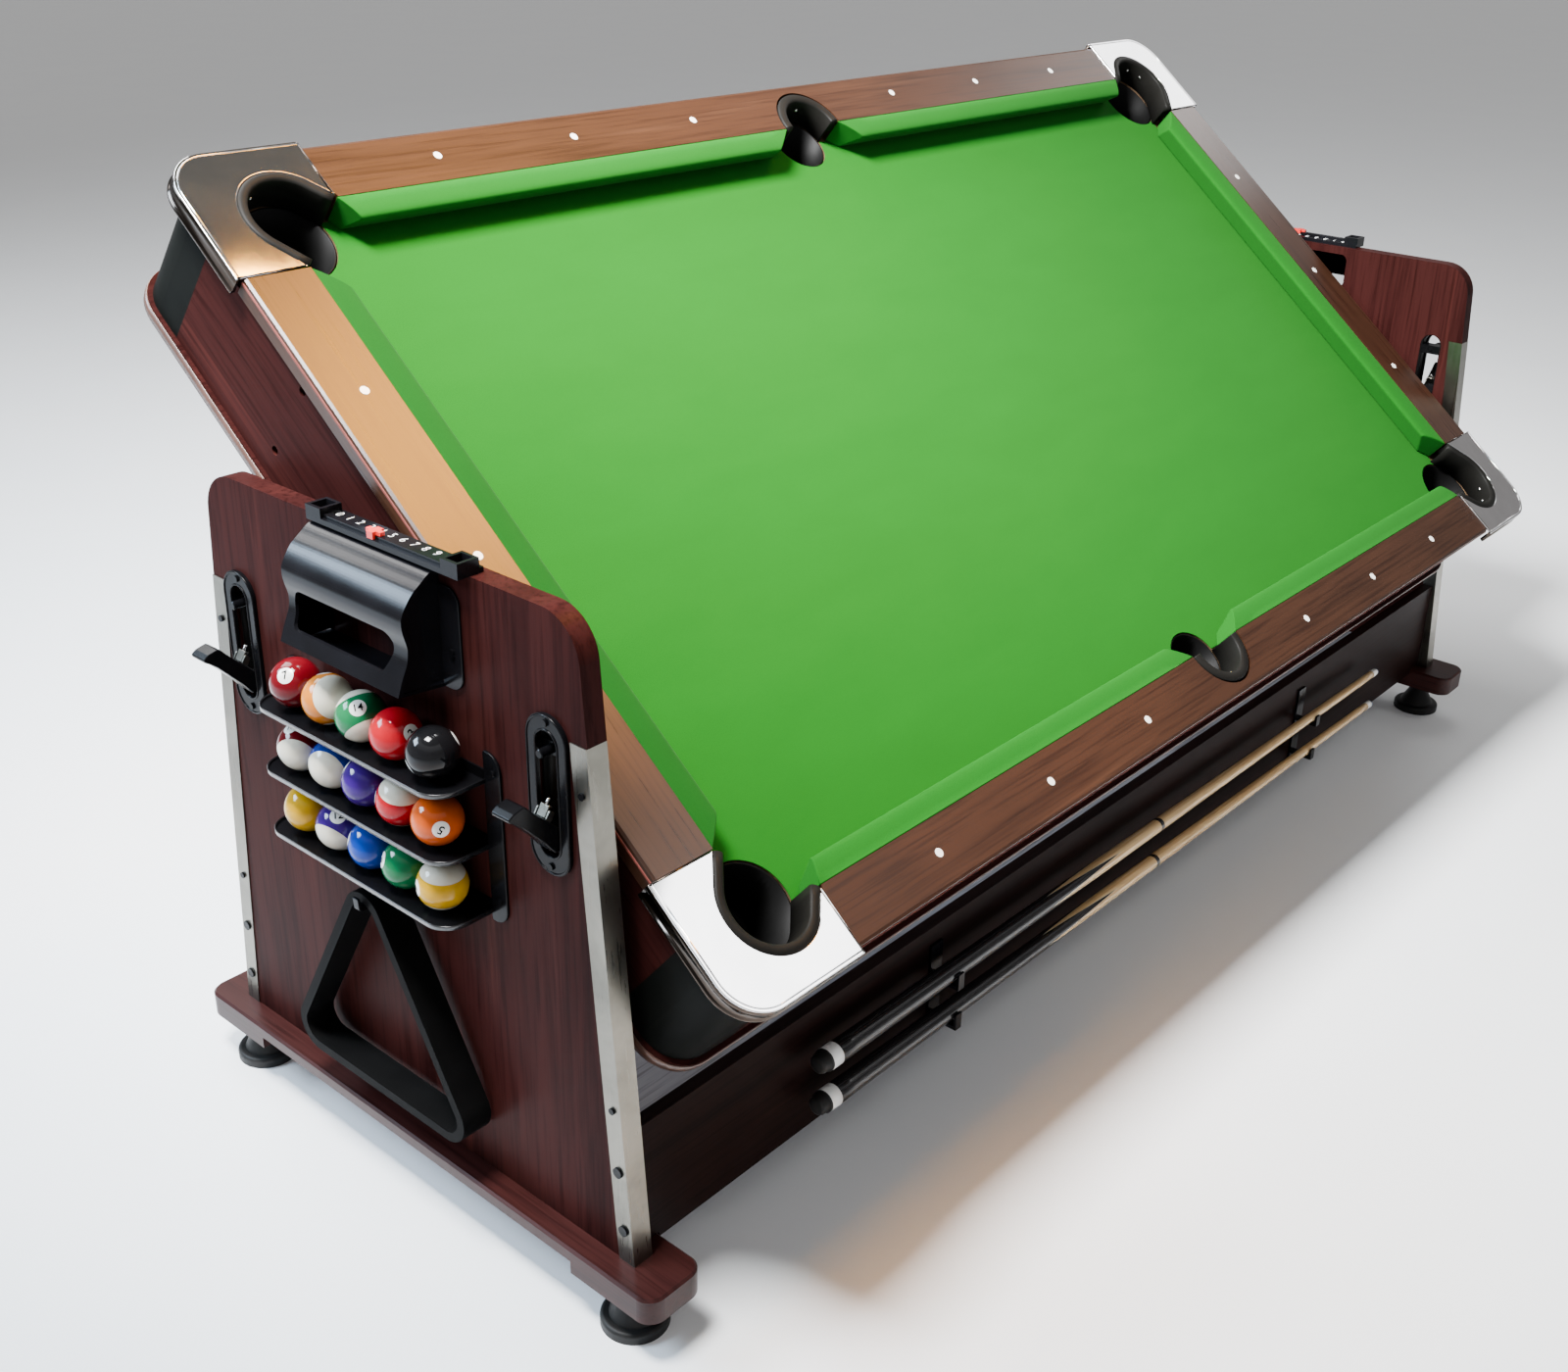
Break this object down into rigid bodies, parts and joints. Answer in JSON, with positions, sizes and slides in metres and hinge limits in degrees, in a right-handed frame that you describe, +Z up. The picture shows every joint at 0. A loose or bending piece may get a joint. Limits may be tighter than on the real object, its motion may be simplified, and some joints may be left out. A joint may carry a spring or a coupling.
{
  "type": "pool table",
  "caption": "Flip-over games table: a pool table that turns end-to-end on a panelled stand, with an air-hockey face below, racked balls, cues and latches.",
  "frame": {"origin": "on the floor, midway between the end panels and midway between the feet", "axes": "+X along the table toward the end without the ball rack, +Y away from the lower long rail, +Z up"},
  "size_m": [2.289, 1.0095, 1.1791],
  "materials": {
    "mahogany_rail": "satin lacquered reddish wood, warm brown with darker streaks",
    "mahogany_dark": "dark reddish-brown laminate with upright grain",
    "board_dark": "near-black mahogany laminate",
    "grey_board": "grey laminate",
    "green_cloth": "short-nap green cloth",
    "green_cushion": "rubber cushion covered in green cloth",
    "chrome": "polished",
    "satin_alloy": "satin",
    "black_plastic": "satin moulded",
    "liner_plastic": "satin moulded",
    "bare_board": "raw board",
    "ivory": "polished inlay",
    "white_field": "smooth white",
    "steel": "bright",
    "blackened_steel": "black satin",
    "red_plastic": "glossy",
    "foot_rubber": "matte black",
    "cue_wood": "lacquered pale shaft with black butt",
    "ball_01": "polished resin",
    "ball_02": "polished resin",
    "ball_03": "polished resin",
    "ball_04": "polished resin",
    "ball_05": "polished resin",
    "ball_06": "polished resin",
    "ball_07": "polished resin",
    "ball_08": "polished resin",
    "ball_09": "polished resin, white with a coloured band",
    "ball_10": "polished resin, white with a coloured band",
    "ball_11": "polished resin, white with a coloured band",
    "ball_12": "polished resin, white with a coloured band",
    "ball_13": "polished resin, white with a coloured band",
    "ball_14": "polished resin, white with a coloured band",
    "ball_15": "polished resin, white with a coloured band"
  },
  "bodies": {
    "stand": {"end_panel_right": "mahogany_dark", "end_panel_left": "mahogany_dark", "end_posts": "satin_alloy", "base_beams": "mahogany_dark", "stretcher_boards": "board_dark", "stretcher_shelf": "grey_board", "goal_boxes": "black_plastic", "scorer_bars": "black_plastic", "ball_rack": "black_plastic", "cue_brackets": "black_plastic", "latch_plates": "blackened_steel", "pivot_bearings": "steel", "frame_screws": "steel"},
    "table": {"play_bed": "bare_board", "bed_cloth": "green_cloth", "long_rails": "mahogany_rail", "end_rails": "mahogany_rail", "cushions": "green_cushion", "corner_caps": "chrome", "pocket_liners": "liner_plastic", "sights": "ivory", "end_aprons": "mahogany_dark", "long_aprons": "mahogany_dark", "apron_corners": "black_plastic", "hockey_field": "white_field", "hockey_rim": "mahogany_dark", "cross_beams": "bare_board", "pivot_shafts": "steel"},
    "foot_left_front": {"foot_left_front": "foot_rubber"},
    "latch_lever_left_front": {"latch_lever_left_front": "blackened_steel"},
    "latch_bolt_left_front": {"latch_bolt_left_front": "steel"},
    "foot_left_back": {"foot_left_back": "foot_rubber"},
    "latch_lever_left_back": {"latch_lever_left_back": "blackened_steel"},
    "latch_bolt_left_back": {"latch_bolt_left_back": "steel"},
    "foot_right_front": {"foot_right_front": "foot_rubber"},
    "latch_lever_right_front": {"latch_lever_right_front": "blackened_steel"},
    "latch_bolt_right_front": {"latch_bolt_right_front": "steel"},
    "foot_right_back": {"foot_right_back": "foot_rubber"},
    "latch_lever_right_back": {"latch_lever_right_back": "blackened_steel"},
    "latch_bolt_right_back": {"latch_bolt_right_back": "steel"},
    "scorer_slider_right": {"scorer_slider_right": "red_plastic"},
    "scorer_slider_left": {"scorer_slider_left": "red_plastic"},
    "cue_upper": {"cue_upper": "cue_wood"},
    "cue_lower": {"cue_lower": "cue_wood"},
    "rack_triangle": {"rack_triangle": "black_plastic"},
    "ball_01": {"ball_01": "ball_01"},
    "ball_02": {"ball_02": "ball_02"},
    "ball_03": {"ball_03": "ball_03"},
    "ball_04": {"ball_04": "ball_04"},
    "ball_05": {"ball_05": "ball_05"},
    "ball_06": {"ball_06": "ball_06"},
    "ball_07": {"ball_07": "ball_07"},
    "ball_08": {"ball_08": "ball_08"},
    "ball_09": {"ball_09": "ball_09"},
    "ball_10": {"ball_10": "ball_10"},
    "ball_11": {"ball_11": "ball_11"},
    "ball_12": {"ball_12": "ball_12"},
    "ball_13": {"ball_13": "ball_13"},
    "ball_14": {"ball_14": "ball_14"},
    "ball_15": {"ball_15": "ball_15"}
  },
  "joints": [
    {"name": "table_turn", "type": "hinge", "parent": "stand", "child": "table", "pos_m": [0, 0, 0.751], "axis": [1, 0, 0], "range_deg": [-39, 141]},
    {"name": "turn_foot_left_front", "type": "hinge", "parent": "stand", "child": "foot_left_front", "pos_m": [-1.066, -0.358, 0.04], "axis": [0, 0, 1], "continuous": true},
    {"name": "swing_latch_lever_left_front", "type": "hinge", "parent": "stand", "child": "latch_lever_left_front", "pos_m": [-1.074, -0.265, 0.595], "axis": [0, 1, 0], "range_deg": [0, 45]},
    {"name": "slide_latch_bolt_left_front", "type": "slide", "parent": "stand", "child": "latch_bolt_left_front", "axis": [1, 0, 0], "range_m": [0, 0.032]},
    {"name": "turn_foot_left_back", "type": "hinge", "parent": "stand", "child": "foot_left_back", "pos_m": [-1.066, 0.358, 0.04], "axis": [0, 0, 1], "continuous": true},
    {"name": "swing_latch_lever_left_back", "type": "hinge", "parent": "stand", "child": "latch_lever_left_back", "pos_m": [-1.074, 0.265, 0.595], "axis": [0, 1, 0], "range_deg": [0, 45]},
    {"name": "slide_latch_bolt_left_back", "type": "slide", "parent": "stand", "child": "latch_bolt_left_back", "axis": [1, 0, 0], "range_m": [0, 0.032]},
    {"name": "turn_foot_right_front", "type": "hinge", "parent": "stand", "child": "foot_right_front", "pos_m": [1.066, -0.358, 0.04], "axis": [0, 0, 1], "continuous": true},
    {"name": "swing_latch_lever_right_front", "type": "hinge", "parent": "stand", "child": "latch_lever_right_front", "pos_m": [1.074, -0.265, 0.595], "axis": [0, -1, 0], "range_deg": [0, 45]},
    {"name": "slide_latch_bolt_right_front", "type": "slide", "parent": "stand", "child": "latch_bolt_right_front", "axis": [-1, 0, 0], "range_m": [0, 0.032]},
    {"name": "turn_foot_right_back", "type": "hinge", "parent": "stand", "child": "foot_right_back", "pos_m": [1.066, 0.358, 0.04], "axis": [0, 0, 1], "continuous": true},
    {"name": "swing_latch_lever_right_back", "type": "hinge", "parent": "stand", "child": "latch_lever_right_back", "pos_m": [1.074, 0.265, 0.595], "axis": [0, -1, 0], "range_deg": [0, 45]},
    {"name": "slide_latch_bolt_right_back", "type": "slide", "parent": "stand", "child": "latch_bolt_right_back", "axis": [-1, 0, 0], "range_m": [0, 0.032]},
    {"name": "score_right", "type": "slide", "parent": "stand", "child": "scorer_slider_right", "axis": [0, 1, 0], "range_m": [-0.085, 0.085]},
    {"name": "score_left", "type": "slide", "parent": "stand", "child": "scorer_slider_left", "axis": [0, 1, 0], "range_m": [-0.1, 0.07]},
    {"name": "lift_cue_upper", "type": "slide", "parent": "stand", "child": "cue_upper", "axis": [0, 0, 1], "range_m": [0, 0.022]},
    {"name": "lift_cue_lower", "type": "slide", "parent": "stand", "child": "cue_lower", "axis": [0, 0, 1], "range_m": [0, 0.022]},
    {"name": "lift_rack_triangle", "type": "slide", "parent": "stand", "child": "rack_triangle", "axis": [0, 0, 1], "range_m": [0, 0.012]},
    {"name": "lift_ball_01", "type": "slide", "parent": "stand", "child": "ball_01", "axis": [0, 0, 1], "range_m": [0, 0.014]},
    {"name": "lift_ball_02", "type": "slide", "parent": "stand", "child": "ball_02", "axis": [0, 0, 1], "range_m": [0, 0.014]},
    {"name": "lift_ball_03", "type": "slide", "parent": "stand", "child": "ball_03", "axis": [0, 0, 1], "range_m": [0, 0.014]},
    {"name": "lift_ball_04", "type": "slide", "parent": "stand", "child": "ball_04", "axis": [0, 0, 1], "range_m": [0, 0.014]},
    {"name": "lift_ball_05", "type": "slide", "parent": "stand", "child": "ball_05", "axis": [0, 0, 1], "range_m": [0, 0.014]},
    {"name": "lift_ball_06", "type": "slide", "parent": "stand", "child": "ball_06", "axis": [0, 0, 1], "range_m": [0, 0.014]},
    {"name": "lift_ball_07", "type": "slide", "parent": "stand", "child": "ball_07", "axis": [0, 0, 1], "range_m": [0, 0.014]},
    {"name": "lift_ball_08", "type": "slide", "parent": "stand", "child": "ball_08", "axis": [0, 0, 1], "range_m": [0, 0.014]},
    {"name": "lift_ball_09", "type": "slide", "parent": "stand", "child": "ball_09", "axis": [0, 0, 1], "range_m": [0, 0.014]},
    {"name": "lift_ball_10", "type": "slide", "parent": "stand", "child": "ball_10", "axis": [0, 0, 1], "range_m": [0, 0.014]},
    {"name": "lift_ball_11", "type": "slide", "parent": "stand", "child": "ball_11", "axis": [0, 0, 1], "range_m": [0, 0.014]},
    {"name": "lift_ball_12", "type": "slide", "parent": "stand", "child": "ball_12", "axis": [0, 0, 1], "range_m": [0, 0.014]},
    {"name": "lift_ball_13", "type": "slide", "parent": "stand", "child": "ball_13", "axis": [0, 0, 1], "range_m": [0, 0.014]},
    {"name": "lift_ball_14", "type": "slide", "parent": "stand", "child": "ball_14", "axis": [0, 0, 1], "range_m": [0, 0.014]},
    {"name": "lift_ball_15", "type": "slide", "parent": "stand", "child": "ball_15", "axis": [0, 0, 1], "range_m": [0, 0.014]}
  ],
  "couplings": [
    {"joint": "slide_latch_bolt_left_front", "follows": "swing_latch_lever_left_front", "m_per_rad": 0.04074},
    {"joint": "slide_latch_bolt_left_back", "follows": "swing_latch_lever_left_back", "m_per_rad": 0.04074},
    {"joint": "slide_latch_bolt_right_front", "follows": "swing_latch_lever_right_front", "m_per_rad": 0.04074},
    {"joint": "slide_latch_bolt_right_back", "follows": "swing_latch_lever_right_back", "m_per_rad": 0.04074}
  ]
}
